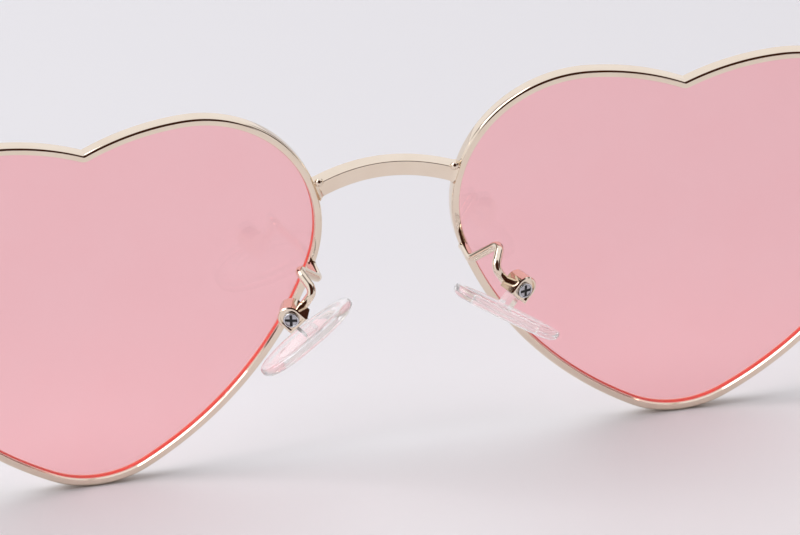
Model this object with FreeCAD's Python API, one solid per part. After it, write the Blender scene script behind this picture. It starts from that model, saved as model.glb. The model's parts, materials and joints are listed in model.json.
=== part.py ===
import FreeCAD, Part
import math
import os
from FreeCAD import Placement, Rotation, Vector

# Heart shaped sunglasses standing on a table: the hearts face -Y, the temples run back along +Y.
# Lengths are in millimetres and angles in degrees.
# The left side (+X) is drawn, and the right is its mirror image.

# Heart outline, drawn along the inner edge of the rim from the tip up to the notch
tip_radius = 13.1
tip_half_turn = 27.6
flank_radius = 49.0
flank_turn = 42.0
shoulder_radius = 16.7
shoulder_turn = 111.8
brow_radius = 33.7
notch_outer_radius = 0.2

# Layout of the front
tip_distance = 79.5
heart_tilt = 1.2
face_form = 1.0

# Rim and the groove inside it
rim_thickness = 1.1
rim_depth = 2.1
rim_bevel = 0.25
rim_split = 0.2
groove_depth = 0.45
groove_width = 1.0

# Lens
lens_thickness = 1.3
lens_clearance = 0.05
lens_bevel = 0.3

# Bridge, its ends placed by an angle on the shoulder of the heart
bridge_angle = 14.0
bridge_rise = 1.55
bridge_bow = 1.2
bridge_height = 2.15
bridge_depth = 2.15
bridge_edge_radius = 0.3

# Closing block at the split of the rim
block_width = 1.6
block_depth = 2.2
block_lower_height = 1.8
rim_screw_radius = 0.4
rim_screw_grip = 2.0
rim_screw_head_radius = 0.7
rim_screw_head_height = 0.4

# End piece and temple bar
bar_thickness = 1.3
bar_height = 3.0
bar_end_height = 2.2
bar_bevel = 0.3
end_piece_lead = 0.4
end_piece_bend_radius = 1.8
end_piece_length = 6.5
temple_slope = 3.0

# Hinge
knuckle_radius = 1.2
knuckle_gap = 0.05
knuckle_swing_gap = 0.15
hinge_gap = 0.1
leaf_thickness = 0.9
leaf_length = 5.5
hinge_screw_radius = 0.55
hinge_screw_head_radius = 1.0
hinge_screw_head_height = 0.5
fixed_hole_clearance = 0.02
running_clearance = 0.05
screw_slot_width = 0.25
screw_slot_depth = 0.22
screw_head_bevel = 0.12

# Temple from the hinge to the ear, and its tip
bar_length = 78.0
sleeve_length = 14.0
ear_radius = 22.0
tail_length = 32.0
core_radius = 0.6
core_end_gap = 9.0
tip_start_height = 3.2
tip_end_radius = 2.8
tip_thickness = 2.4
tip_edge_radius = 0.9

# Nose pad, its box placed from the middle of the front, the table and the back of the rim
pad_box_side = 15.3
pad_box_height = 27.5
pad_box_behind = 9.6
pad_splay = 63.0
pad_rake = 20.0
pad_roll = 14.0
pad_length = 15.3
pad_width = 7.5
pad_thickness = 2.0
pad_end_radius = 2.6
pad_face_radius = 1.2
pad_back_bevel = 0.4
pad_stand_off = 4.0
pad_forward = 0.7
core_plate_share = 0.6
core_plate_thickness = 0.8
tab_thickness = 1.2
tab_width = 1.7

# Box and screw of the nose pad
box_swing = 20.0
box_lean = 43.0
box_radius = 1.6
box_round_offset = 0.3
box_skirt = 1.4
box_wall = 0.6
box_side_wall = 0.35
box_gap = 0.15
box_border = 0.35
box_bevel = 0.15
pad_screw_radius = 0.45
pad_screw_head_radius = 1.05
pad_screw_head_height = 0.45
pad_screw_seat = 0.25
pad_screw_cross_reach = 0.7
pad_screw_cross_width = 0.36

# Pad arm: a wire straight back from the rim, up and out to a loop, back to a knee and down to the box
arm_radius = 0.6
arm_root_angle = -22.0
arm_root_share = 0.75
arm_root_length = 3.9
arm_bend_radius = 1.1
arm_loop_side = 1.5
arm_loop_depth = 3.1
arm_loop_height = 1.9
arm_knee_side = 1.75
arm_knee_depth = 0.3
arm_knee_height = 1.9

# Depth of the cutting shape of the heart, more than anything it cuts
cut_depth = 20.0

# Directions
centre = Vector(0, 0, 0)
across = Vector(1, 0, 0)
back = Vector(0, 1, 0)
up = Vector(0, 0, 1)
down_angle = -90.0
half_turn = 180.0
full_turn = 360.0


def around(middle, radius, angle):
    """Point at an angle on a circle in the plane of the front."""
    turn = math.radians(angle)
    return middle + Vector(math.cos(turn), 0, math.sin(turn)) * radius


def arc(middle, radius, start, end):
    points = [around(middle, radius, angle) for angle in (start, (start + end) / 2, end)]
    return Part.Arc(*points).toShape()


def box(low, high):
    size = high - low
    return Part.makeBox(size.x, size.y, size.z, low)


def mirrored(solid):
    return solid.mirror(centre, across)


def placed(solid, place):
    moved = solid.copy()
    moved.Placement = place * moved.Placement
    return moved


def at(value, *targets):
    return any(math.isclose(value, target, abs_tol=1e-4) for target in targets)


def edges_where(solid, chosen):
    """Edges whose two ends and middle all pass the test."""
    edges = []
    for edge in solid.Edges:
        points = [vertex.Point for vertex in edge.Vertexes] + [edge.CenterOfMass]
        if all(chosen(point) for point in points):
            edges.append(edge)
    return edges


def wire_path(points, bend_radius):
    """Straight lines through the points, with a round bend at each corner."""
    edges = []
    start = points[0]
    for before, corner, after in zip(points, points[1:], points[2:]):
        inward = (before - corner).normalize()
        outward = (after - corner).normalize()
        half_angle = inward.getAngle(outward) / 2
        run = bend_radius / math.tan(half_angle)
        middle_run = bend_radius / math.sin(half_angle) - bend_radius
        bend_start = corner + inward * run
        bend_middle = corner + (inward + outward).normalize() * middle_run
        bend_end = corner + outward * run
        edges.append(Part.makeLine(start, bend_start))
        edges.append(Part.Arc(bend_start, bend_middle, bend_end).toShape())
        start = bend_end
    edges.append(Part.makeLine(start, points[-1]))
    return edges


def round_wire(points, bend_radius, radius):
    """Round wire bent through the points."""
    ring = Part.Wire([Part.makeCircle(radius, points[0], points[1] - points[0])])
    return Part.Wire(wire_path(points, bend_radius)).makePipe(Part.Face(ring))


def screw(radius, length, head_radius, head_height, slot_reach, slot_width, slots):
    """Shaft along -Z below a round head with one slot or a cross."""
    shaft = Part.makeCylinder(radius, length, up * -length)
    plain = shaft.fuse(Part.makeCylinder(head_radius, head_height)).removeSplitter()
    body = plain.makeChamfer(screw_head_bevel, edges_where(plain, lambda point: at(point.z, head_height)))
    slot = box(
        Vector(-slot_reach, -slot_width / 2, head_height - screw_slot_depth),
        Vector(slot_reach, slot_width / 2, head_height * 2),
    )
    for turn in range(slots):
        body = body.cut(placed(slot, Placement(centre, Rotation(up, turn * half_turn / slots))))
    return body


# Heart outline: tip, flank, shoulder and brow run on from each other, and a small arc turns into the notch
tip_middle = Vector(0, 0, tip_radius)
flank_start = down_angle + tip_half_turn
flank_middle = around(tip_middle, tip_radius - flank_radius, flank_start)
shoulder_start = flank_start + flank_turn
shoulder_middle = around(flank_middle, flank_radius - shoulder_radius, shoulder_start)
brow_start = shoulder_start + shoulder_turn
brow_middle = around(shoulder_middle, shoulder_radius - brow_radius, brow_start)
notch_radius = rim_thickness + notch_outer_radius
notch_rise = math.sqrt((brow_radius + notch_radius) ** 2 - brow_middle.x ** 2)
notch_middle = brow_middle + Vector(-brow_middle.x, 0, notch_rise)
brow_end = math.degrees(math.atan2(notch_rise, -brow_middle.x))


def heart_plate(offset, thickness):
    """Plate with the heart outline at a distance outside the inner edge of the rim."""
    side = [
        arc(flank_middle, flank_radius + offset, flank_start, shoulder_start),
        arc(shoulder_middle, shoulder_radius + offset, shoulder_start, brow_start),
        arc(brow_middle, brow_radius + offset, brow_start, brow_end),
    ]
    tip = arc(tip_middle, tip_radius + offset, down_angle - tip_half_turn, flank_start)
    notch = arc(notch_middle, notch_radius - offset, brow_end + half_turn, full_turn - brow_end)
    edges = [tip, notch] + side + [mirrored(edge) for edge in side]
    face = Part.Face(Part.Wire(Part.__sortEdges__(edges)))
    face.translate(back * (-thickness / 2))
    return face.extrude(back * thickness)


# Each heart stands on its tip, leans out a little at the top and turns back towards its temple
heart_turn = Rotation(up, face_form) * Rotation(back, heart_tilt)
heart_stand = Vector(tip_distance / 2, 0, tip_radius + rim_thickness)
heart_place = Placement(heart_stand, heart_turn) * Placement(-tip_middle, Rotation())


def on_rim(side, angle, offset, behind):
    """Point by the shoulder of the rim on the temple side (1) or the nose side (-1)."""
    flat = around(shoulder_middle, shoulder_radius + offset, angle)
    return heart_place.multVec(Vector(side * flat.x, behind, flat.z))


# Rim: the wire of the heart, bevelled along its edges, grooved for the lens and split at the temple side
rim_ring = heart_plate(rim_thickness, rim_depth).cut(heart_plate(0, rim_depth))
rim_edges = edges_where(rim_ring, lambda point: at(abs(point.y), rim_depth / 2))
rim_bevelled = rim_ring.makeChamfer(rim_bevel, rim_edges)
rim_grooved = rim_bevelled.cut(heart_plate(groove_depth, groove_width))
rim_side = on_rim(1, 0, rim_thickness, 0)
split_reach = Vector(rim_thickness * 2, rim_depth, rim_split / 2)
rim = placed(rim_grooved, heart_place).cut(box(rim_side - split_reach, rim_side + split_reach))
heart_solid = placed(heart_plate(rim_thickness, cut_depth), heart_place)

# Lens: a flat plate just inside the rim, with a bevelled tongue that sits in the groove
tongue_width = groove_width - lens_clearance * 2
tongue = heart_plate(groove_depth - lens_clearance, tongue_width)
tongue_edges = edges_where(tongue, lambda point: at(abs(point.y), tongue_width / 2))
bevelled = tongue.makeChamfer(lens_bevel, tongue_edges)
lens_plate = heart_plate(-lens_clearance, lens_thickness)
lens = placed(lens_plate.fuse(bevelled).removeSplitter(), heart_place)

# Bridge: a bar arched up and forward, cut to sit on the outside of both rims
bridge_end = on_rim(-1, bridge_angle, 0, 0)
bridge_top = Vector(0, bridge_end.y - bridge_bow, bridge_end.z + bridge_rise)
bridge_other_end = Vector(-bridge_end.x, bridge_end.y, bridge_end.z)
bridge_arc = Part.Arc(bridge_other_end, bridge_top, bridge_end).toShape()
bridge_circle = bridge_arc.Curve
bridge_turn = math.degrees(bridge_arc.Length / bridge_circle.Radius)
section_back = Vector(0, bridge_depth / 2, 0)
section_up = Vector(0, 0, bridge_height / 2)
section_corners = [
    bridge_top + section_back + section_up,
    bridge_top - section_back + section_up,
    bridge_top - section_back - section_up,
    bridge_top + section_back - section_up,
]
section = Part.Face(Part.makePolygon(section_corners + section_corners[:1]))
section.rotate(bridge_circle.Center, bridge_circle.Axis, -bridge_turn / 2)
bridge_bar = section.revolve(bridge_circle.Center, bridge_circle.Axis, bridge_turn)
bridge_edges = [edge for edge in bridge_bar.Edges if edge.Length > bridge_end.x]
bridge_round = bridge_bar.makeFillet(bridge_edge_radius, bridge_edges)
bridge = bridge_round.cut(heart_solid).cut(mirrored(heart_solid))

# Closing block: an upper and a lower half on the ends of the rim, pulled together from below by a screw
block_back = Vector(0, block_depth / 2, 0)
block_inner = rim_side - Vector(rim_thickness, 0, 0)
block_outer = rim_side + Vector(block_width, 0, 0)
upper_low = block_inner - block_back + up * (rim_split / 2)
upper_high = block_outer + block_back + up * (rim_split / 2 + bar_height)
lower_low = block_inner - block_back - up * (rim_split / 2 + block_lower_height)
lower_high = block_outer + block_back - up * (rim_split / 2)
rim_screw_foot = rim_side + Vector(block_width / 2, 0, -rim_split / 2 - block_lower_height)
rim_screw_length = block_lower_height + rim_split + rim_screw_grip
rim_hole_radius = rim_screw_radius + fixed_hole_clearance
rim_hole = Part.makeCylinder(rim_hole_radius, rim_screw_length + fixed_hole_clearance, rim_screw_foot)
upper_block = box(upper_low, upper_high).cut(heart_solid).cut(rim_hole)
lower_block = box(lower_low, lower_high).cut(heart_solid).cut(rim_hole)
rim_screw_solid = screw(
    rim_screw_radius, rim_screw_length, rim_screw_head_radius, rim_screw_head_height,
    rim_screw_head_radius, screw_slot_width, 1,
)
rim_screw = placed(rim_screw_solid, Placement(rim_screw_foot, Rotation(across, half_turn)))

# Hinge frame: Z along the hinge screw, Y along the temple, which slopes down to the ear
slope = math.radians(temple_slope)
bar_offset = knuckle_radius + hinge_gap / 2 + bar_thickness / 2
end_piece_reach = end_piece_bend_radius + end_piece_length
hinge_point = Vector(
    block_outer.x + end_piece_lead + end_piece_bend_radius - bar_offset,
    rim_side.y + end_piece_reach * math.cos(slope),
    rim_side.z + rim_split / 2 + bar_height / 2 - end_piece_reach * math.sin(slope),
)
hinge_place = Placement(hinge_point, Rotation(across, -temple_slope))

# End piece: a strip that leaves the upper block sideways and bends back to the hinge
strip_side = bar_thickness / 2
strip_root = Vector(bar_offset - end_piece_bend_radius - end_piece_lead, -end_piece_reach, -bar_height / 2)
strip_corner = Vector(bar_offset, -end_piece_reach, -bar_height / 2)
strip_end = Vector(bar_offset, -hinge_gap / 2, -bar_height / 2)
strip_out = Vector(strip_side, -strip_side, 0)
outer_points = [strip_root - back * strip_side, strip_corner + strip_out, strip_end + across * strip_side]
inner_points = [strip_end - across * strip_side, strip_corner - strip_out, strip_root + back * strip_side]
outer_edges = wire_path(outer_points, end_piece_bend_radius + strip_side)
inner_edges = wire_path(inner_points, end_piece_bend_radius - strip_side)
butt_line = Part.makeLine(outer_points[-1], inner_points[0])
root_line = Part.makeLine(inner_points[-1], outer_points[0])
strip_wire = Part.Wire(outer_edges + [butt_line] + inner_edges + [root_line])
strip = Part.Face(strip_wire).extrude(up * bar_height)
strip_loops = edges_where(strip, lambda point: at(abs(point.z), bar_height / 2))
strip_edges = [edge for edge in strip_loops if not at(edge.Length, bar_thickness)]
end_piece = placed(strip.makeChamfer(bar_bevel, strip_edges), hinge_place)

# Hinge leaves: two knuckles on the end piece, one between them on the temple, each on a plate
knuckle_height = (bar_height - knuckle_gap * 2) / 3
leaf_outer = knuckle_radius + hinge_gap / 2
middle_half = knuckle_height / 2
outer_start = middle_half + knuckle_gap
swing_radius = knuckle_radius + knuckle_swing_gap


def barrel(radius, low, high):
    return Part.makeCylinder(radius, high - low, up * low)


def leaf_plate(start, end):
    low = Vector(leaf_outer - leaf_thickness, start, -bar_height / 2)
    return box(low, Vector(leaf_outer, end, bar_height / 2))


upper_knuckle = barrel(knuckle_radius, outer_start, bar_height / 2)
lower_knuckle = barrel(knuckle_radius, -bar_height / 2, -outer_start)
middle_knuckle = barrel(knuckle_radius, -middle_half, middle_half)
middle_swing = barrel(swing_radius, -outer_start, outer_start)
upper_swing = barrel(swing_radius, middle_half, bar_height)
lower_swing = barrel(swing_radius, -bar_height, -middle_half)
front_hole = barrel(hinge_screw_radius + fixed_hole_clearance, -bar_height, bar_height)
temple_hole = barrel(hinge_screw_radius + running_clearance, -bar_height, bar_height)
front_plate = leaf_plate(-leaf_length, -hinge_gap / 2).cut(middle_swing)
front_knuckles = front_plate.fuse([upper_knuckle, lower_knuckle]).removeSplitter()
front_leaf = placed(front_knuckles.cut(front_hole), hinge_place)
temple_plate = leaf_plate(hinge_gap / 2, leaf_length).cut([upper_swing, lower_swing])
temple_knuckle = temple_plate.fuse(middle_knuckle).removeSplitter()
temple_leaf = placed(temple_knuckle.cut(temple_hole), hinge_place)
hinge_screw_solid = screw(
    hinge_screw_radius, bar_height, hinge_screw_head_radius, hinge_screw_head_height,
    hinge_screw_head_radius, screw_slot_width, 1,
)
hinge_screw = placed(hinge_screw_solid, hinge_place * Placement(up * (bar_height / 2), Rotation()))

# Ear bend: turned just far enough that the temple tip stands on the table with the hearts
ear_distance = bar_length + sleeve_length
tail_diagonal = math.hypot(tail_length, ear_radius)
straight_drop = ear_distance * math.sin(slope) + ear_radius * math.cos(slope)
drop_share = (hinge_point.z - tip_end_radius - straight_drop) / tail_diagonal
ear_turn = math.atan2(ear_radius, tail_length) + math.asin(drop_share) - slope
ear_run = ear_radius * math.tan(ear_turn / 2)
tail_heading = Vector(0, math.cos(ear_turn), -math.sin(ear_turn))
tail_side = across.cross(tail_heading)
ear_corner = Vector(bar_offset, ear_distance + ear_run, 0)
tip_end = ear_corner + tail_heading * (ear_run + tail_length)

# Temple: a flat bar that gets lower towards the ear and goes on as a thin core wire
bar_inner = bar_offset - bar_thickness / 2
bar_corners = [
    Vector(bar_inner, hinge_gap / 2, bar_height / 2),
    Vector(bar_inner, bar_length, bar_end_height / 2),
    Vector(bar_inner, bar_length, -bar_end_height / 2),
    Vector(bar_inner, hinge_gap / 2, -bar_height / 2),
]
bar = Part.Face(Part.makePolygon(bar_corners + bar_corners[:1])).extrude(across * bar_thickness)
bar_edges = edges_where(bar, lambda point: at(point.x, bar_inner, bar_inner + bar_thickness))
core_start = Vector(bar_offset, bar_length - bar_thickness, 0)
core_end = tip_end - tail_heading * core_end_gap
core_wire = round_wire([core_start, ear_corner, core_end], ear_radius, core_radius)
temple = placed(bar.makeChamfer(bar_bevel, bar_edges).fuse(core_wire).removeSplitter(), hinge_place)


# Temple tip: a sleeve on the core wire that widens to a round end behind the ear
def tip_line(side):
    """Corner points of one long side, the last where it runs into the round end."""
    mouth = Vector(bar_offset, bar_length, side * tip_start_height / 2)
    corner_out = (up + tail_side).normalize() * (side * tip_start_height / 2 / math.cos(ear_turn / 2))
    corner = ear_corner + corner_out
    to_end = tip_end - corner
    lean = math.asin(tip_end_radius / to_end.Length)
    along = Rotation(across, side * math.degrees(lean)).multVec(to_end).normalize()
    return [mouth, corner, corner + along * (to_end.Length * math.cos(lean))]


upper_points = tip_line(1)
lower_points = tip_line(-1)
upper_edges = wire_path(upper_points, ear_radius + tip_start_height / 2)
lower_edges = wire_path(lower_points, ear_radius - tip_start_height / 2)
tip_round = Part.Arc(upper_points[-1], tip_end + tail_heading * tip_end_radius, lower_points[-1]).toShape()
tip_mouth = Part.makeLine(lower_points[0], upper_points[0])
tip_outline = Part.__sortEdges__(upper_edges + [tip_round] + lower_edges + [tip_mouth])
tip_face = Part.Face(Part.Wire(tip_outline))
tip_face.translate(across * (-tip_thickness / 2))
tip_blank = tip_face.extrude(across * tip_thickness)
tip_edges = edges_where(tip_blank, lambda point: at(abs(point.x - bar_offset), tip_thickness / 2))
bore_start = Vector(bar_offset, bar_length - tip_thickness, 0)
bore_end = core_end + tail_heading * fixed_hole_clearance
tip_bore = round_wire([bore_start, ear_corner, bore_end], ear_radius, core_radius + fixed_hole_clearance)
temple_tip = placed(tip_blank.makeFillet(tip_edge_radius, tip_edges).cut(tip_bore), hinge_place)

# Nose pad frame: X out of the back of the pad, Y along the screw to the rear, Z up along the pad
pad_turn = Rotation(back, -pad_splay) * Rotation(across, pad_rake) * Rotation(up, -pad_roll)
pad_point = Vector(pad_box_side, rim_depth / 2 + pad_box_behind, pad_box_height)
pad_place = Placement(pad_point, pad_turn) * Placement(back * -pad_forward, Rotation())

# Box frame at the same point: X away from the pad, Y along the screw to the rear and outwards
box_turn = Rotation(up, -box_swing) * Rotation(back, -box_lean)
box_place = Placement(pad_point, box_turn)


def oval_plate(x, share, thickness):
    """Plate square to X with the oval outline of the pad, made of two flat and two tight arcs."""
    end_radius = pad_end_radius * share
    end_reach = pad_length * share / 2 - end_radius
    half_width = pad_width * share / 2
    side_radius = (end_reach ** 2 + half_width ** 2 - end_radius ** 2) / (half_width - end_radius) / 2
    side_reach = side_radius - half_width
    lean = Vector(0, side_reach, end_reach).normalize()
    end_point = up * end_reach + lean * end_radius
    near = Vector(x, end_point.y, end_point.z)
    far = Vector(x, -end_point.y, end_point.z)
    top = Vector(x, 0, end_reach + end_radius)
    end_arc = Part.Arc(near, top, far).toShape()
    side_arc = Part.Arc(near, Vector(x, half_width, 0), Vector(x, near.y, -near.z)).toShape()
    edges = [end_arc, side_arc, end_arc.mirror(centre, up), side_arc.mirror(centre, back)]
    return Part.Face(Part.Wire(Part.__sortEdges__(edges))).extrude(across * thickness)


# Pad core: a thin oval plate with a tab that goes into the box
pad_front = -pad_stand_off - pad_thickness / 2
pad_rear = pad_front + pad_thickness
core_front = -pad_stand_off - core_plate_thickness / 2
core_plate = placed(oval_plate(core_front, core_plate_share, core_plate_thickness), pad_place)
tab_lean = pad_turn.multVec(across).getAngle(box_turn.multVec(across))
tab_reach = pad_stand_off / math.cos(tab_lean)
tab_side = Vector(0, tab_thickness / 2, tab_width / 2)
tab_plate = box(across * -tab_reach - tab_side, tab_side)
tab_round = Part.makeCylinder(tab_width / 2, tab_thickness, back * (-tab_thickness / 2), back)
tab = placed(tab_plate.fuse(tab_round).removeSplitter(), box_place)
core_solid = core_plate.fuse(tab).removeSplitter()
tab_hole_radius = pad_screw_radius + running_clearance
tab_hole = Part.makeCylinder(tab_hole_radius, tab_thickness * 2, back * -tab_thickness, back)
pad_core = core_solid.cut(placed(tab_hole, box_place))

# Nose pad: a soft oval, rounder on the face that meets the nose, moulded round the core
pad_blank = oval_plate(pad_front, 1, pad_thickness)
face_edges = edges_where(pad_blank, lambda point: at(point.x, pad_front))
pad_faced = pad_blank.makeFillet(pad_face_radius, face_edges)
rear_edges = edges_where(pad_faced, lambda point: at(point.x, pad_rear))
pad_soft = pad_faced.makeChamfer(pad_back_bevel, rear_edges)
nose_pad = placed(pad_soft, pad_place).cut(core_solid)

# Pad box: closed all round and open towards the pad, the rear face sunk inside a border
slot_half = tab_thickness / 2 + box_gap
box_half = slot_half + box_wall


def box_block(inset, start, end):
    """Block along the screw with the outline of the box, smaller all round by an inset."""
    radius = box_radius - inset
    straight = box(Vector(inset - box_skirt, start, -radius), Vector(box_round_offset, end, radius))
    round_back = Part.makeCylinder(radius, end - start, Vector(box_round_offset, start, 0), back)
    return straight.fuse(round_back).removeSplitter()


box_blank = box_block(0, -box_half, box_half)
box_rear_edges = edges_where(box_blank, lambda point: at(point.y, box_half))
box_bevelled = box_blank.makeChamfer(box_bevel, box_rear_edges)
slot_side = box_radius - box_side_wall
box_slot = box(
    Vector(-box_skirt * 2, -slot_half, -slot_side),
    Vector(tab_width / 2 + box_gap, slot_half, slot_side),
)
box_solid = box_bevelled.cut(box_slot)
seat_distance = box_half - pad_screw_seat
box_seat = box_block(box_border, seat_distance, box_half * 2)
box_hole_radius = pad_screw_radius + fixed_hole_clearance
box_hole = Part.makeCylinder(box_hole_radius, box_half * 2, back * -box_half, back)
pad_box = placed(box_solid.cut([box_hole, box_seat]), box_place)

# Pad screw: its head sits on the sunk rear face of the box
pad_screw_solid = screw(
    pad_screw_radius, seat_distance + box_half, pad_screw_head_radius, pad_screw_head_height,
    pad_screw_cross_reach, pad_screw_cross_width, 2,
)
pad_screw = placed(pad_screw_solid, box_place * Placement(back * seat_distance, Rotation(up, back)))

# Pad arm: a wire brazed on the back of the rim and on the front of the box
arm_root = on_rim(-1, arm_root_angle, rim_thickness * arm_root_share, rim_depth / 2 - rim_bevel)
arm_bend = arm_root + back * arm_root_length
arm_end = box_place.multVec(Vector(0, -box_half, box_radius - box_wall / 2))
arm_knee = arm_end + Vector(-arm_knee_side, arm_knee_depth, arm_knee_height)
arm_loop = arm_knee + Vector(arm_loop_side, -arm_loop_depth, arm_loop_height)
arm_wire = round_wire([arm_root, arm_bend, arm_loop, arm_knee, arm_end], arm_bend_radius, arm_radius)
arm_cuts = arm_wire.cut([rim, placed(box_solid, box_place)]).Solids
pad_arm = max(arm_cuts, key=lambda solid: solid.Volume)

# The drawn side and its mirror image, moved so that the middle of the whole lies over the origin
side_pieces = {
    "rim": rim,
    "lens": lens,
    "upper_rim_block": upper_block,
    "lower_rim_block": lower_block,
    "rim_screw": rim_screw,
    "end_piece": end_piece,
    "front_hinge_leaf": front_leaf,
    "hinge_screw": hinge_screw,
    "temple_hinge_leaf": temple_leaf,
    "temple": temple,
    "temple_tip": temple_tip,
    "pad_arm": pad_arm,
    "pad_box": pad_box,
    "pad_screw": pad_screw,
    "pad_core": pad_core,
    "nose_pad": nose_pad,
}
pieces = {"bridge": bridge}
for name, solid in side_pieces.items():
    pieces["left_" + name] = solid
    pieces["right_" + name] = mirrored(solid)
whole = Part.Compound(list(pieces.values())).optimalBoundingBox(False)
centring = back * (-(whole.YMin + whole.YMax) / 2)

os.makedirs("parts", exist_ok=True)
for name, solid in pieces.items():
    solid.translate(centring)
    solid.exportStep("parts/" + name + ".step")
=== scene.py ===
import json
import math

import bmesh
import bpy
from mathutils import Matrix, Quaternion, Vector


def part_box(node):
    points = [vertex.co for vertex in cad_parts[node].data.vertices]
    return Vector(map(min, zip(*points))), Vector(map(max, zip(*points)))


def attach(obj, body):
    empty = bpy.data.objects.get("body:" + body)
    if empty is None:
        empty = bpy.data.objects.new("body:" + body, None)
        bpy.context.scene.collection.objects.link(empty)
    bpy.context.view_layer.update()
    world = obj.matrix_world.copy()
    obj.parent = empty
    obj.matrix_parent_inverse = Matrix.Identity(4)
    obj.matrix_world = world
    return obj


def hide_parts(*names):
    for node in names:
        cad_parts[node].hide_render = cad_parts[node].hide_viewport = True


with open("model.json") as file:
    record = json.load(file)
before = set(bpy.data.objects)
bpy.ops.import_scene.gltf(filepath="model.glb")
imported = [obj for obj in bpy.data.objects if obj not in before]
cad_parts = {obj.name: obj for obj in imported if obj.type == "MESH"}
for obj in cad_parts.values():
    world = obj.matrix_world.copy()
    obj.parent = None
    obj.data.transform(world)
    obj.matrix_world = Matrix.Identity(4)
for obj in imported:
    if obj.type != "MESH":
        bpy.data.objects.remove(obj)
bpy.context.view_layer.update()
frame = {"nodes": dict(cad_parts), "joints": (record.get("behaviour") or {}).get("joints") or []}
mm = 0.001


# Rims. Each lens sits in a ring of drawn metal wire, bent to a heart on a former and gold plated.
# The wire is polished like a mirror, rounded outside and cut to a narrow flat bevel inside. It is split on
# the temple side, where two small blocks hold it together.
tip_radius = 13.1 * mm
tip_half_turn = 27.6
flank_radius = 49.0 * mm
flank_turn = 42.0
shoulder_radius = 16.7 * mm
shoulder_turn = 111.8
brow_radius = 33.7 * mm
notch_radius = 1.3 * mm
point_gap = 0.6 * mm
least_points = 4
tip_distance = 79.5 * mm
heart_tilt = 1.2
face_form = 1.0
rim_width = 1.1 * mm
rim_depth = 2.1 * mm
rim_edge = 0.42 * mm
rim_edge_steps = 6
rim_bevel = 0.12 * mm
rim_bevel_reach = 0.905
rim_face_share = 0.49
rim_sharp_angle = 20.0
gold_light = (0.86, 0.765, 0.645, 1)
gold_deep = (0.80, 0.68, 0.545, 1)


class Signal:
    """An output of a node. Sums and products of signals add Math nodes to the same tree."""

    def __init__(self, tree, output=None):
        self.tree = tree
        self.output = output

    def node(self, kind, settings=(), inputs=(), output=0):
        """Add a node with its own settings first, then the values or links of its sockets."""
        made = self.tree.nodes.new(kind)
        for name, value in dict(settings).items():
            setattr(made, name, value)
        for name, value in dict(inputs).items():
            if isinstance(value, Signal):
                self.tree.links.new(value.output, made.inputs[name])
            else:
                made.inputs[name].default_value = value
        return Signal(self.tree, made.outputs[output] if made.outputs else None)

    def maths(self, operation, first, second):
        return self.node("ShaderNodeMath", {"operation": operation}, {0: first, 1: second})

    def __add__(self, other):
        return self.maths("ADD", self, other)

    def __sub__(self, other):
        return self.maths("SUBTRACT", self, other)

    def __rsub__(self, other):
        return self.maths("SUBTRACT", other, self)

    def __mul__(self, other):
        return self.maths("MULTIPLY", self, other)

    __radd__ = __add__
    __rmul__ = __mul__

    def between(self, low, high):
        """Colour that goes from low to high as the signal goes from 0 to 1."""
        return self.node("ShaderNodeMix", {"data_type": "RGBA"}, {0: self, 6: low, 7: high}, 2)

    def noise(self, size, detail):
        """Cloudy pattern with spots of about the given size."""
        return self.node("ShaderNodeTexNoise", {}, {"Vector": self, "Scale": 1 / size, "Detail": detail})

    def bump(self, strength, height):
        return self.node("ShaderNodeBump", {}, {"Strength": strength, "Distance": height, "Height": self})


def new_material(name):
    """Empty material, and the place on the piece that its patterns start from."""
    material = bpy.data.materials.new(name)
    material.use_nodes = True
    material.node_tree.nodes.clear()
    place = Signal(material.node_tree).node("ShaderNodeTexCoord", output="Object")
    return material, place


gold, place = new_material("polished gold plating")
clouds = place.noise(size=4 * mm, detail=2)
polish = place.noise(size=0.35 * mm, detail=4)
gold_surface = place.node("ShaderNodeBsdfPrincipled", {}, {
    "Base Color": clouds.between(gold_deep, gold_light),
    "Metallic": 1.0,
    "Roughness": 0.04 + 0.1 * polish * clouds,
    "Normal": polish.bump(strength=0.05, height=0.02 * mm),
})
place.node("ShaderNodeOutputMaterial", {}, {"Surface": gold_surface})


def around(middle, radius, angle):
    """Point at an angle on a circle in the flat plane of the heart."""
    turn = math.radians(angle)
    return middle + Vector((math.cos(turn), math.sin(turn), 0)) * radius


tip_middle = Vector((0, tip_radius, 0))
flank_start = tip_half_turn - 90
flank_middle = around(tip_middle, tip_radius - flank_radius, flank_start)
shoulder_start = flank_start + flank_turn
shoulder_middle = around(flank_middle, flank_radius - shoulder_radius, shoulder_start)
brow_start = shoulder_start + shoulder_turn
brow_middle = around(shoulder_middle, shoulder_radius - brow_radius, brow_start)
notch_rise = math.sqrt((brow_radius + notch_radius) ** 2 - brow_middle.x ** 2)
notch_middle = brow_middle + Vector((-brow_middle.x, notch_rise, 0))
brow_end = math.degrees(math.atan2(notch_rise, -brow_middle.x))
heart_arcs = [
    (tip_middle, tip_radius, -90, flank_start),
    (flank_middle, flank_radius, flank_start, shoulder_start),
    (shoulder_middle, shoulder_radius, shoulder_start, brow_start),
    (brow_middle, brow_radius, brow_start, brow_end),
    (notch_middle, -notch_radius, brow_end, 90),
]


def heart_line(offset):
    """Points round the heart at a distance outside the inner edge of its rim."""
    half = []
    for middle, radius, start, end in heart_arcs:
        reach = radius + offset
        length = abs(math.radians(end - start) * radius)
        count = least_points + int(length / point_gap)
        half += [around(middle, reach, start + (end - start) * i / count) for i in range(count)]
    notch = around(notch_middle, offset - notch_radius, 90)
    return half + [notch] + [Vector((-point.x, point.y, 0)) for point in half[:0:-1]]


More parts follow.
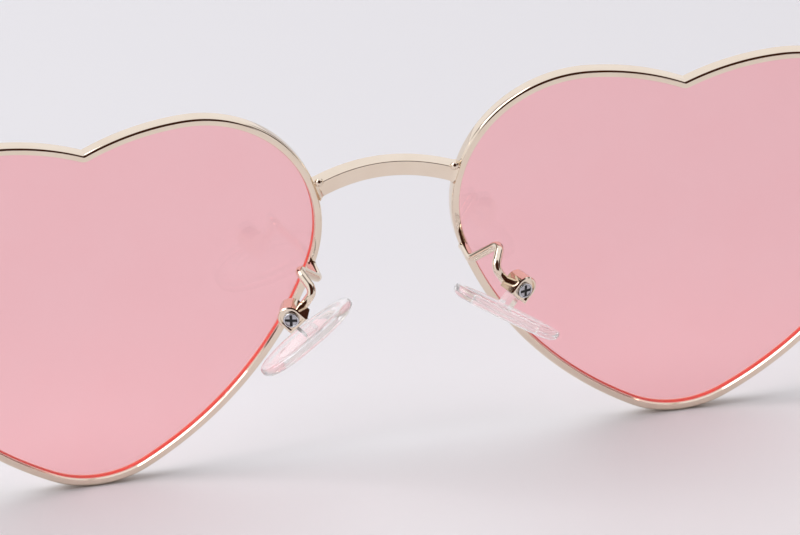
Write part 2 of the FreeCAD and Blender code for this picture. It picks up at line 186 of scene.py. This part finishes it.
def new_tree(name, sizes):
    """Empty tree of Geometry Nodes that takes a path, named sizes and a finish."""
    tree = bpy.data.node_groups.new(name, "GeometryNodeTree")
    tree.interface.new_socket("path", in_out="INPUT", socket_type="NodeSocketGeometry")
    for size in sizes:
        tree.interface.new_socket(size, in_out="INPUT", socket_type="NodeSocketFloat")
    tree.interface.new_socket("finish", in_out="INPUT", socket_type="NodeSocketMaterial")
    tree.interface.new_socket("piece", in_out="OUTPUT", socket_type="NodeSocketGeometry")
    given = tree.nodes.new("NodeGroupInput").outputs
    return tree, {socket.name: Signal(tree, socket) for socket in given if socket.name}


def flat_outline(given):
    """Rectangle across a wire, of its given width and depth."""
    return given["path"].node(
        "GeometryNodeCurvePrimitiveQuadrilateral", {}, {"Width": given["width"], "Height": given["depth"]}
    )


def end_tree(given, piece):
    """Last nodes of a tree: a plain smooth mesh with its finish."""
    smooth = piece.node("GeometryNodeSetShadeSmooth", {}, {"Geometry": piece})
    plain = piece.node("GeometryNodeRealizeInstances", {}, {"Geometry": smooth})
    done = piece.node("GeometryNodeSetMaterial", {}, {"Geometry": plain, "Material": given["finish"]})
    piece.node("NodeGroupOutput", {}, {0: done})


# The outer corners are rounded. Each inner corner is cut once, and then the points on the inner face,
# beyond a share of the width from the middle, are drawn closer together along the depth.
rim_tree, given = new_tree("rim wire", ["width", "depth", "edge", "bevel", "reach"])
outline = flat_outline(given)
spot = outline.node("GeometryNodeInputPosition")
outwards = outline.node("ShaderNodeSeparateXYZ", {}, {0: spot}, "X")
outer = outline.maths("GREATER_THAN", outwards, 0.0)
rounded = outline.node("GeometryNodeFilletCurve", {"mode": "POLY"}, {
    "Curve": outline,
    "Count": 1 + (rim_edge_steps - 1) * outer,
    "Radius": given["bevel"] + (given["edge"] - given["bevel"]) * outer,
})
inner = outline.maths("LESS_THAN", outwards, -rim_face_share * given["width"])
squeeze = outline.node("ShaderNodeCombineXYZ", {}, {"X": 1.0, "Y": given["reach"], "Z": 1.0})
squeezed = outline.node("ShaderNodeVectorMath", {"operation": "MULTIPLY"}, {0: spot, 1: squeeze})
section = outline.node(
    "GeometryNodeSetPosition", {}, {"Geometry": rounded, "Selection": inner, "Position": squeezed}
)
wire = outline.node("GeometryNodeCurveToMesh", {}, {"Curve": given["path"], "Profile Curve": section})
end_tree(given, wire)


def swept(name, tree, points, closed=False, widths=None, **sizes):
    """Mesh that a tree makes along a path of points."""
    curve = bpy.data.curves.new(name, "CURVE")
    curve.dimensions = "3D"
    curve.twist_mode = "Z_UP"
    spline = curve.splines.new("POLY")
    spline.points.add(len(points) - 1)
    for i, point in enumerate(points):
        spline.points[i].co = (*point, 1)
        spline.points[i].radius = widths[i] if widths else 1
    spline.use_cyclic_u = closed
    path = bpy.data.objects.new(name, curve)
    bpy.context.collection.objects.link(path)
    modifier = path.modifiers.new(name, "NODES")
    modifier.node_group = tree
    for socket in tree.interface.items_tree:
        if socket.name in sizes:
            modifier[socket.identifier] = sizes[socket.name]
    evaluated = path.evaluated_get(bpy.context.evaluated_depsgraph_get())
    mesh = bpy.data.meshes.new_from_object(evaluated)
    path.modifiers.remove(modifier)
    bpy.data.objects.remove(path)
    return mesh


def put(name, mesh, body, slot, *nodes):
    """Piece that rides on a body in place of CAD nodes. Its slot is not used."""
    piece = bpy.data.objects.new(name, mesh)
    bpy.context.collection.objects.link(piece)
    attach(piece, body)
    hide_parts(*nodes)


def put_pair(name, mesh, body, slot, node):
    """Left piece and its mirror image. A body's name with {} in it gets the side's name there."""
    other = mesh.copy()
    other.transform(Matrix.Scale(-1, 4, (1, 0, 0)))
    other.flip_normals()
    put("left_" + name, mesh, body.format("left"), slot, "left_" + node)
    put("right_" + name, other, body.format("right"), slot, "right_" + node)


def turned(angle, axis):
    return Matrix.Rotation(math.radians(angle), 4, axis)


rim_low, rim_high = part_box("left_rim")
front = (rim_low.y + rim_high.y) / 2
heart_stand = Matrix.Translation((tip_distance / 2, front, tip_radius + rim_width))
heart_lean = turned(face_form, "Z") @ turned(heart_tilt, "Y") @ turned(90, "X")
heart_place = heart_stand @ heart_lean @ Matrix.Translation(-tip_middle)
rim = swept(
    "rim", rim_tree, heart_line(rim_width / 2), closed=True, width=rim_width, depth=rim_depth,
    edge=rim_edge, bevel=rim_bevel, reach=rim_bevel_reach, finish=gold,
)
rim.set_sharp_from_angle(angle=math.radians(rim_sharp_angle))
rim.transform(heart_place)
put_pair("rim_wire", rim, "front", "gold", "rim")


# Lenses. Flat plates of see-through plastic, dyed pink all through, cut to the heart and sprung into the rim.
# The ground edge holds the most dye to look through, so it shows as a red line inside the rim. It also has a
# faint painted glow of its own red.
lens_thickness = 1.3 * mm
lens_seat = 0.1 * mm
lens_edge_width = 0.08 * mm
lens_edge_depth = 1.1 * mm
lens_edge_seat = lens_edge_width / 4
lens_edge_radius = lens_edge_width / 4
flat_edge_steps = 6
lens_pink = (1.0, 0.59, 0.615, 1)
lens_deep_pink = (1.0, 0.55, 0.575, 1)
lens_edge_red = (0.78, 0.022, 0.008, 1)
lens_edge_orange = (0.95, 0.085, 0.025, 1)


def clear_output(surface, shadow):
    """Output for a see-through piece, which lets lamps shine through it with a tint."""
    path = surface.node("ShaderNodeLightPath", output="Is Shadow Ray")
    clear = surface.node("ShaderNodeBsdfTransparent", {}, {"Color": shadow})
    mixed = surface.node("ShaderNodeMixShader", {}, {0: path, 1: surface, 2: clear})
    surface.node("ShaderNodeOutputMaterial", {}, {"Surface": mixed})


tinted, place = new_material("pink lens plastic")
smears = place.noise(size=9 * mm, detail=3)
lens_surface = place.node("ShaderNodeBsdfPrincipled", {}, {
    "Base Color": smears.between(lens_pink, lens_deep_pink),
    "Roughness": 0.02 * smears,
    "IOR": 1.5,
    "Transmission Weight": 1.0,
})
clear_output(lens_surface, shadow=(1.0, 0.97, 0.975, 1))

lens_edge, place = new_material("ground lens edge with painted glow")
grinding = place.noise(size=0.4 * mm, detail=3)
edge_surface = place.node("ShaderNodeBsdfPrincipled", {}, {
    "Base Color": grinding.between(lens_edge_red, lens_edge_orange),
    "Roughness": 0.3 + 0.3 * grinding,
    "Normal": grinding.bump(strength=0.3, height=0.05 * mm),
    # Painted glow: the edge emits its own red faintly, so it stays bright where it faces into the lens.
    "Emission Color": grinding.between(lens_edge_red, lens_edge_orange),
    "Emission Strength": 0.1,
})
place.node("ShaderNodeOutputMaterial", {}, {"Surface": edge_surface})


def slab(name, outlines, depth, finish):
    """Flat plates with outlines in the plane of X and Y, half their depth to each side."""
    half = Vector((0, 0, depth / 2))
    points = []
    faces = []
    for outline in outlines:
        count = len(outline)
        front = list(range(len(points), len(points) + count))
        points += [point + half for point in outline] + [point - half for point in outline]
        faces += [front, [count + i for i in reversed(front)]]
        for i, j in zip(front, front[1:] + front[:1]):
            faces.append([i, count + i, count + j, j])
    mesh = bpy.data.meshes.new(name)
    mesh.from_pydata(points, [], faces)
    mesh.materials.append(finish)
    return mesh


lens = slab("lens", [heart_line(lens_seat)], lens_thickness, tinted)
lens.transform(heart_place)
put_pair("tinted_lens", lens, "front", "lens", "lens")

flat_wire, given = new_tree("flat wire", ["width", "depth", "edge"])
outline = flat_outline(given)
section = outline.node("GeometryNodeFilletCurve", {"mode": "POLY"}, {
    "Curve": outline, "Count": flat_edge_steps, "Radius": given["edge"],
})
swelling = outline.node("GeometryNodeInputRadius")
wire = outline.node("GeometryNodeCurveToMesh", {}, {
    "Curve": given["path"], "Profile Curve": section, "Scale": swelling, "Fill Caps": True,
})
end_tree(given, wire)

edge = swept(
    "lens edge", flat_wire, heart_line(lens_edge_seat), closed=True,
    width=lens_edge_width, depth=lens_edge_depth, edge=lens_edge_radius, finish=lens_edge,
)
edge.transform(heart_place)
put_pair("lens_edge", edge, "front", "lens", "lens")


# Bridge. A short gold bar, arched up and forward over the nose and brazed to both rims.
# The braze flows out at its two ends and leaves a small bead at the top of each.
bridge_angle = 14.0
bridge_root_share = 0.7
bridge_rise = 1.55 * mm
bridge_bow = 1.2 * mm
bridge_size = 2.15 * mm
bridge_edge = 0.12 * mm
bridge_steps = 60
braze_share = 0.09
braze_swell = 0.28
bead_radius = 0.6 * mm
bead_angle = 18.0
bead_columns = 24
bead_rows = 16


def on_rim(side, angle, offset, behind):
    """Point by the shoulder of the left rim on the temple side (1) or the nose side (-1)."""
    flat = around(shoulder_middle, shoulder_radius + offset, angle)
    return heart_place @ Vector((side * flat.x, flat.y, -behind))


bridge_root = on_rim(-1, bridge_angle, rim_width * bridge_root_share, 0)
bridge_line = []
bridge_widths = []
for i in range(bridge_steps + 1):
    share = 2 * i / bridge_steps - 1
    crown = 1 - share ** 2
    bridge_line.append(Vector((
        bridge_root.x * share,
        bridge_root.y - bridge_bow * crown,
        bridge_root.z + bridge_rise * crown,
    )))
    bridge_widths.append(1 + braze_swell * max(0, (abs(share) - 1) / braze_share + 1) ** 2)
bridge = swept(
    "bridge", flat_wire, bridge_line, widths=bridge_widths,
    width=bridge_size, depth=bridge_size, edge=bridge_edge, finish=gold,
)
put("arched_bridge", bridge, "front", "gold", "bridge")

bead_shape = bmesh.new()
bmesh.ops.create_uvsphere(
    bead_shape, u_segments=bead_columns, v_segments=bead_rows, radius=bead_radius
)
bead = bpy.data.meshes.new("bead")
bead_shape.to_mesh(bead)
bead_shape.free()
bead.shade_smooth()
bead.materials.append(gold)
bead.transform(Matrix.Translation(on_rim(-1, bead_angle, rim_width + bead_radius, rim_depth / 2)))
put_pair("braze_bead", bead, "front", "gold", "rim")


# Closing blocks and end pieces. Small gold blocks on the split of the rim, pulled together by a screw,
# and a bent strip that carries the hinge. The hinge leaves are stamped and soldered to it.
steel_light = (0.74, 0.76, 0.80, 1)
steel_dark = (0.50, 0.51, 0.55, 1)

steel, place = new_material("bright steel")
turning = place.noise(size=0.2 * mm, detail=3)
steel_surface = place.node("ShaderNodeBsdfPrincipled", {}, {
    "Base Color": turning.between(steel_dark, steel_light),
    "Metallic": 1.0,
    "Roughness": 0.15 + 0.2 * turning,
    "Normal": turning.bump(strength=0.1, height=0.02 * mm),
})
place.node("ShaderNodeOutputMaterial", {}, {"Surface": steel_surface})


def coat(material, *nodes):
    """Give a finish to the CAD nodes of both sides."""
    for side in ("left_", "right_"):
        for node in nodes:
            slots = frame["nodes"][side + node].data.materials
            slots.clear()
            slots.append(material)


coat(gold, "upper_rim_block", "lower_rim_block", "end_piece", "front_hinge_leaf", "temple_hinge_leaf")
coat(steel, "rim_screw", "hinge_screw")


# Temples. Flat gold bars from the hinge to the ear, which go on as a thin core wire inside the tips.
# The tips are sleeves of clear plastic, pushed over the wire and bent down behind the ear.
bar_offset = 1.9 * mm
bar_length = 78.0 * mm
sleeve_length = 14.0 * mm
temple_slope = math.radians(3.0)
ear_radius = 22.0 * mm
ear_steps = 20
tail_length = 32.0 * mm
tip_half_height = 1.6 * mm
tip_end_radius = 2.8 * mm
tip_end_steps = 16
tip_half_thickness = 1.2 * mm
tip_edge = 0.9 * mm
tip_edge_steps = 6
crease_angle = 40.0
plastic_tint = (0.97, 0.95, 0.94, 1)

clear_plastic, place = new_material("clear plastic")
flow = place.noise(size=6 * mm, detail=2)
plastic_surface = place.node("ShaderNodeBsdfPrincipled", {}, {
    "Base Color": plastic_tint,
    "Roughness": 0.02 + 0.08 * flow,
    "IOR": 1.49,
    "Transmission Weight": 1.0,
    "Normal": flow.bump(strength=0.05, height=0.05 * mm),
})
clear_output(plastic_surface, shadow=(0.97, 0.97, 0.97, 1))
coat(gold, "temple")


def joint_point(name):
    return Vector(next(joint for joint in frame["joints"] if joint["name"] == name)["pos_m"])


def skin(name, rings, finish):
    """Closed mesh through rings of points, with a flat face on the first and on the last."""
    count = len(rings[0])
    points = [point for ring in rings for point in ring]
    last = len(points) - count
    faces = [list(range(count)), list(range(len(points) - 1, last - 1, -1))]
    for low in range(0, last, count):
        for i in range(count):
            j = (i + 1) % count
            faces.append([low + j, low + i, low + count + i, low + count + j])
    mesh = bpy.data.meshes.new(name)
    mesh.from_pydata(points, [], faces)
    mesh.shade_smooth()
    mesh.set_sharp_from_angle(angle=math.radians(crease_angle))
    mesh.materials.append(finish)
    return mesh


# The ear bend turns as far as it must for the end of the tip to stand on the table.
hinge_point = joint_point("left_temple_fold")
ear_distance = bar_length + sleeve_length
straight_drop = ear_distance * math.sin(temple_slope) + ear_radius * math.cos(temple_slope)
drop_share = (hinge_point.z - tip_end_radius - straight_drop) / math.hypot(tail_length, ear_radius)
ear_turn = math.atan2(ear_radius, tail_length) + math.asin(drop_share) - temple_slope


def heading(turn):
    """Direction along the temple after it has turned down by an angle."""
    return Vector((0, math.cos(turn), -math.sin(turn)))


ear_middle = Vector((bar_offset, ear_distance, -ear_radius))
ear_end = ear_middle + heading(ear_turn - math.pi / 2) * ear_radius
tip_end = ear_end + heading(ear_turn) * tail_length
tip_stops = [(Vector((bar_offset, bar_length, 0)), 0, tip_half_height)]
for i in range(ear_steps + 1):
    turn = ear_turn * i / ear_steps
    tip_stops.append((ear_middle + heading(turn - math.pi / 2) * ear_radius, turn, tip_half_height))


def tip_ring(inset, x):
    """Outline of the tip, smaller by an inset, at a distance to the side of its middle."""
    aside = Vector((x, 0, 0))
    lower = [point + heading(turn + math.pi / 2) * (height - inset) for point, turn, height in tip_stops]
    upper = [point + heading(turn - math.pi / 2) * (height - inset) for point, turn, height in tip_stops]
    end = []
    for i in range(tip_end_steps + 1):
        turn = ear_turn + math.pi * (0.5 - i / tip_end_steps)
        end.append(tip_end + heading(turn) * (tip_end_radius - inset))
    return [point + aside for point in lower + end + upper[::-1]]


tip_levels = []
for i in range(tip_edge_steps + 1):
    turn = math.pi / 2 * i / tip_edge_steps
    tip_levels.append((tip_edge * (1 - math.sin(turn)), tip_half_thickness - tip_edge * (1 - math.cos(turn))))
tip_rings = [tip_ring(inset, x) for inset, x in tip_levels]
tip_rings += [tip_ring(inset, -x) for inset, x in tip_levels[::-1]]
tip = skin("tip", tip_rings, clear_plastic)
tip.transform(Matrix.Translation(hinge_point) @ Matrix.Rotation(-temple_slope, 4, "X"))
put_pair("ear_tip", tip, "{}_temple", "clear_plastic", "temple_tip")


# Pad arms. Gold wires brazed to the back of the rims, bent out to a loop and down to the pad boxes.
# A wearer bends them by hand to fit the pads to the nose.
arm_radius = 0.6 * mm
arm_sides = 24
arm_step = 0.15 * mm
arm_bend_radius = 1.1 * mm
arm_bend_steps = 10
arm_root_angle = -22.0
arm_root_share = 0.6
arm_root_depth_share = 0.38
arm_root_length = 3.9 * mm
arm_braze_length = 0.7 * mm
arm_braze_swell = 1.15
arm_loop_offset = Vector((1.5, -3.1, 1.9)) * mm
arm_knee_offset = Vector((-1.75, 0.3, 1.9)) * mm
arm_joint_offset = Vector((0, -1.35, 1.3)) * mm
arm_end_offset = Vector((-0.5, -1.5, 1.4)) * mm
box_swing = 20.0
box_lean = 43.0

round_wire, given = new_tree("round wire", ["radius", "bend", "swell", "braze"])
bent = given["path"].node("GeometryNodeFilletCurve", {"mode": "POLY"}, {
    "Curve": given["path"], "Count": arm_bend_steps, "Radius": given["bend"], "Limit Radius": True,
})
evened = bent.node("GeometryNodeResampleCurve", {"mode": "LENGTH"}, {"Curve": bent, "Length": arm_step})
travelled = bent.node("GeometryNodeSplineParameter", output="Length")
swelling = bent.node("ShaderNodeMapRange", {"interpolation_type": "SMOOTHSTEP"}, {
    "Value": travelled, "From Max": given["braze"], "To Min": given["swell"], "To Max": 1.0,
})
circle = bent.node(
    "GeometryNodeCurvePrimitiveCircle", {}, {"Resolution": arm_sides, "Radius": given["radius"]}
)
rod = bent.node("GeometryNodeCurveToMesh", {}, {
    "Curve": evened, "Profile Curve": circle, "Scale": swelling, "Fill Caps": True,
})
end_tree(given, rod)

pad_point = Matrix.Translation(joint_point("left_pad_rock"))
box_place = pad_point @ turned(-box_swing, "Z") @ turned(-box_lean, "Y")
arm_root = on_rim(-1, arm_root_angle, rim_width * arm_root_share, rim_depth * arm_root_depth_share)
arm_knee = box_place @ arm_joint_offset + arm_knee_offset
arm_line = [
    arm_root,
    arm_root + Vector((0, arm_root_length, 0)),
    arm_knee + arm_loop_offset,
    arm_knee,
    box_place @ arm_end_offset,
]
arm = swept(
    "arm", round_wire, arm_line, radius=arm_radius, bend=arm_bend_radius,
    swell=arm_braze_swell, braze=arm_braze_length, finish=gold,
)
put_pair("arm_wire", arm, "front", "gold", "pad_arm")


# Pad boxes. Small gold boxes on the arms, each open towards its pad, with a steel cross screw through it.
# The screw head lies in a sunk face inside a raised border. It has a bright edge round four duller quarters,
# whose darker colour is painted shade in the dished face, and the bottom of the cross between them is painted
# shade.
screw_steps = 48
screw_dish = 0.79 * mm
screw_floor_level = 1.35 * mm
screw_floor_depth = 0.02 * mm
quarter_level = 1.41 * mm
quarter_depth = 0.12 * mm
quarter_steps = 12
cross_half = 0.19 * mm
cross_turn = 45.0
painted_shade_light = (0.02, 0.018, 0.02, 1)
painted_shade_dark = (0.006, 0.005, 0.006, 1)
dull_shaded_light = (0.72, 0.72, 0.76, 1)
dull_shaded_dark = (0.20, 0.20, 0.22, 1)

# Radius and height in mm of each step of the screw, from the dish in its head to the end of its shaft.
screw_rings = [
    (0.80, 1.34), (0.82, 1.49), (0.87, 1.54), (0.93, 1.55), (1.01, 1.52), (1.05, 1.45), (1.05, 1.10),
    (0.45, 1.10), (0.45, -1.35),
]

# Painted shade: a near-black colour, mottled a little, for the shade at the bottom of the cross recess.
cross_painted_shade, place = new_material("painted shade at the bottom of a screw cross")
shade_mottle = place.noise(size=0.1 * mm, detail=3)
cross_shade_surface = place.node("ShaderNodeBsdfPrincipled", {}, {
    "Base Color": shade_mottle.between(painted_shade_dark, painted_shade_light),
    "Roughness": 0.4 + 0.3 * shade_mottle,
})
place.node("ShaderNodeOutputMaterial", {}, {"Surface": cross_shade_surface})

# Painted shade: the quarters' darker steel colour stands in for shade in the dished head. Their roughness and
# pits are the steel's finish.
dull_shaded_steel, place = new_material("dull steel with painted shade")
pits = place.noise(size=0.25 * mm, detail=3)
dull_shaded_surface = place.node("ShaderNodeBsdfPrincipled", {}, {
    "Base Color": pits.between(dull_shaded_dark, dull_shaded_light),
    "Metallic": 1.0,
    "Roughness": 0.15 + 0.2 * pits,
    "Normal": pits.bump(strength=0.6, height=0.08 * mm),
})
place.node("ShaderNodeOutputMaterial", {}, {"Surface": dull_shaded_surface})
coat(gold, "pad_box")


def screw_ring(radius, level):
    """Circle of points round the screw's axis."""
    return [around(Vector((0, 0, level)), radius, 360 * i / screw_steps) for i in range(screw_steps)]


screw_place = box_place @ turned(-90, "X")
screw = skin("screw", [screw_ring(radius * mm, level * mm) for radius, level in screw_rings], steel)
screw.transform(screw_place)
put_pair("cross_screw", screw, "front", "steel", "pad_screw")

# A thin near-black slab on the recess floor, as painted shade under the cross.
screw_floor = slab("screw floor", [screw_ring(screw_dish, screw_floor_level)], screw_floor_depth, cross_painted_shade)
screw_floor.transform(screw_place)
put_pair("screw_floor", screw_floor, "front", "steel", "pad_screw")

quarter_lean = math.degrees(math.asin(cross_half / screw_dish))
quarter = [Vector((cross_half, cross_half, 0))]
for i in range(quarter_steps + 1):
    angle = quarter_lean + (90 - 2 * quarter_lean) * i / quarter_steps
    quarter.append(around(Vector((0, 0, 0)), screw_dish, angle))
quarters = [[turned(90 * i + cross_turn, "Z") @ point for point in quarter] for i in range(4)]
screw_quarters = slab("screw quarters", quarters, quarter_depth, dull_shaded_steel)
screw_quarters.transform(screw_place @ Matrix.Translation((0, 0, quarter_level)))
put_pair("screw_quarters", screw_quarters, "front", "steel", "pad_screw")


# Nose pads. Soft clear silicone moulded round a clear plastic plate, a little frosted, whose tab rocks in the
# pad box. A raised border runs round the back and a fine moulding line round the edge. The side that meets
# the nose is rounder.
pad_splay = 63.0
pad_rake = 20.0
pad_roll = 14.0
pad_length = 15.3 * mm
pad_width = 7.5 * mm
pad_thickness = 1.6 * mm
pad_stand_off = 4.0 * mm
pad_forward = 0.7 * mm
pad_roundness = 2.2
pad_steps = 64
clear_white = (1.0, 1.0, 1.0, 1)
core_painted_glow = (1.0, 0.98, 0.98, 1)

# Distance in mm inside the outline, and place in the thickness, of each ring from the back to the nose.
pad_rings = [
    (2.1, 0.38), (1.75, 0.38), (1.6, 0.40), (1.45, 0.48), (1.3, 0.50), (0.7, 0.50),
    (0.25, 0.47), (0.06, 0.38), (0.0, 0.24), (0.0, 0.12), (0.10, 0.08), (0.10, 0.03),
    (0.03, -0.02), (0.12, -0.08), (0.35, -0.26), (0.8, -0.40), (1.4, -0.48), (2.2, -0.50),
]

silicone, place = new_material("clear silicone")
haze = place.noise(size=2 * mm, detail=3)
silicone_surface = place.node("ShaderNodeBsdfPrincipled", {}, {
    "Base Color": clear_white,
    "Roughness": 0.02 + 0.05 * haze,
    "IOR": 1.25,
    "Transmission Weight": 0.86,
    "Coat Weight": 1.0,
    "Coat Roughness": 0.05,
    "Normal": haze.bump(strength=0.05, height=0.05 * mm),
})
clear_output(silicone_surface, shadow=(0.97, 0.96, 0.96, 1))


def oval(inset, share):
    """Ring of points inside the outline of the pad, at a share of its thickness from the middle."""
    points = []
    for i in range(pad_steps):
        turn = math.tau * i / pad_steps
        wide = math.copysign(abs(math.cos(turn)) ** (2 / pad_roundness), math.cos(turn))
        long = math.copysign(abs(math.sin(turn)) ** (2 / pad_roundness), math.sin(turn))
        points.append(Vector((
            share * pad_thickness - pad_stand_off,
            wide * (pad_width / 2 - inset * mm),
            long * (pad_length / 2 - inset * mm),
        )))
    return points


pad = skin("pad", [oval(inset, share) for inset, share in pad_rings], silicone)
pad_turn = turned(-pad_splay, "Y") @ turned(pad_rake, "X") @ turned(-pad_roll, "Z")
pad.transform(pad_point @ pad_turn @ Matrix.Translation((0, -pad_forward, 0)))
put_pair("soft_pad", pad, "{}_pad", "clear_silicone", "nose_pad")

core_plastic, place = new_material("clear plastic in silicone with painted glow")
frost = place.noise(size=1.6 * mm, detail=2)
core_surface = place.node("ShaderNodeBsdfPrincipled", {}, {
    "Base Color": clear_white,
    "Roughness": 0.02 + 0.15 * frost,
    "IOR": 1.18,
    "Transmission Weight": 0.86,
    # Painted glow: a faint white emission that makes the plate inside the pad look whiter.
    "Emission Color": core_painted_glow,
    "Emission Strength": 0.035,
    "Normal": frost.bump(strength=0.3, height=0.1 * mm),
})
clear_output(core_surface, shadow=(0.98, 0.98, 0.98, 1))
coat(core_plastic, "pad_core")


# Table. A plain pale sheet of paper under the glasses, which stand on the rims' tips and the temples' ends.
# It is painted lighter and pinker towards the viewer: painted pink light from the lenses, lifting the
# glasses' shade.
half_table = 3.0
table_corners = [(-1, -1), (1, -1), (1, 1), (-1, 1)]
table_far = (0.85, 0.85, 0.88, 1)
table_far_line = -0.12
paper_and_painted_light_near = (0.94, 0.915, 0.925, 1)
table_near_line = 0.02

paper, place = new_material("pale paper")
along = place.node("ShaderNodeSeparateXYZ", {}, {0: place}, "Y")
grain = place.noise(size=1.5 * mm, detail=4)
# Painted light: towards the viewer the paper turns lighter and pinker, for pink light from the lenses and
# against the glasses' shade.
nearness = place.node("ShaderNodeMapRange", {}, {
    "Value": along, "From Min": table_far_line, "From Max": table_near_line,
})
paper_surface = place.node("ShaderNodeBsdfPrincipled", {}, {
    "Base Color": nearness.between(table_far, paper_and_painted_light_near),
    "Roughness": 0.6 + 0.1 * grain,
    "Specular IOR Level": 0.2,
    "Normal": grain.bump(strength=0.02, height=0.05 * mm),
})
place.node("ShaderNodeOutputMaterial", {}, {"Surface": paper_surface})
table = bpy.data.meshes.new("table")
table.from_pydata([(x * half_table, y * half_table, 0) for x, y in table_corners], [], [(0, 1, 2, 3)])
table.materials.append(paper)
table_top = bpy.data.objects.new("table", table)
bpy.context.collection.objects.link(table_top)


# Light. An even pale room with one broad soft box on the left. The room is dark on the viewer's side and in
# three corners, which draw the dark lines on the polished metal.
room_light = (0.985, 0.975, 1.0, 1)
room_dark = (0.052, 0.018, 0.012, 1)
dark_sides = [
    (Vector((0.0, 0.80, 0.60)), 0.66, 0.78),
    (Vector((0.67, -0.54, 0.51)), 0.91, 0.966),
    (Vector((-0.74, -0.66, 0.13)), 0.96, 0.985),
    (Vector((-0.90, 0.27, 0.34)), 0.93, 0.96),
]
lamp_spot = Vector((1.2, -0.3, 1.25))
lamp_size = 1.2
lamp_power = 15.2

room = bpy.data.worlds.new("room")
room.use_nodes = True
room.node_tree.nodes.clear()
way = Signal(room.node_tree).node("ShaderNodeTexCoord", output="Generated")
dimmed = 0
for dark_way, dark_from, dark_to in dark_sides:
    facing = way.node("ShaderNodeVectorMath", {"operation": "DOT_PRODUCT"}, {0: way, 1: dark_way}, "Value")
    dimmed = dimmed + way.node("ShaderNodeMapRange", {"interpolation_type": "SMOOTHSTEP"}, {
        "Value": facing, "From Min": dark_from, "From Max": dark_to,
    })
sky = way.node("ShaderNodeBackground", {}, {"Color": dimmed.between(room_light, room_dark), "Strength": 1.0})
way.node("ShaderNodeOutputWorld", {}, {"Surface": sky})
bpy.context.scene.world = room
light = bpy.data.lights.new("soft box", "AREA")
light.size = lamp_size
light.energy = lamp_power
lamp = bpy.data.objects.new("soft box", light)
lamp.location = lamp_spot
lamp.rotation_mode = "QUATERNION"
lamp.rotation_quaternion = lamp_spot.to_track_quat("Z", "Y")
bpy.context.collection.objects.link(lamp)


# Camera. It looks at the middle of the front from behind, above and a little to the left, through a long
# lens, at the photograph's viewing angle.
camera_aim = Vector((-1.5 * mm, front + rim_depth / 2, 27.16 * mm))
camera_azimuth = 166.617
camera_height = 28.755
camera_roll = 0.674
camera_distance = 1.3181
camera_lens = 450.0
camera_nearest = 0.1
camera_farthest = 20.0

side = math.radians(camera_azimuth)
height = math.radians(camera_height)
towards = Vector((math.sin(side) * math.cos(height), -math.cos(side) * math.cos(height), math.sin(height)))
roll = Quaternion((0, 0, 1), -math.radians(camera_roll))
view = bpy.data.cameras.new("view")
view.lens = camera_lens
view.clip_start = camera_nearest
view.clip_end = camera_farthest
camera = bpy.data.objects.new("view", view)
camera.location = camera_aim + towards * camera_distance
camera.rotation_mode = "QUATERNION"
camera.rotation_quaternion = towards.to_track_quat("Z", "Y") @ roll
bpy.context.collection.objects.link(camera)
bpy.context.scene.camera = camera
bpy.context.scene.view_settings.view_transform = "Standard"
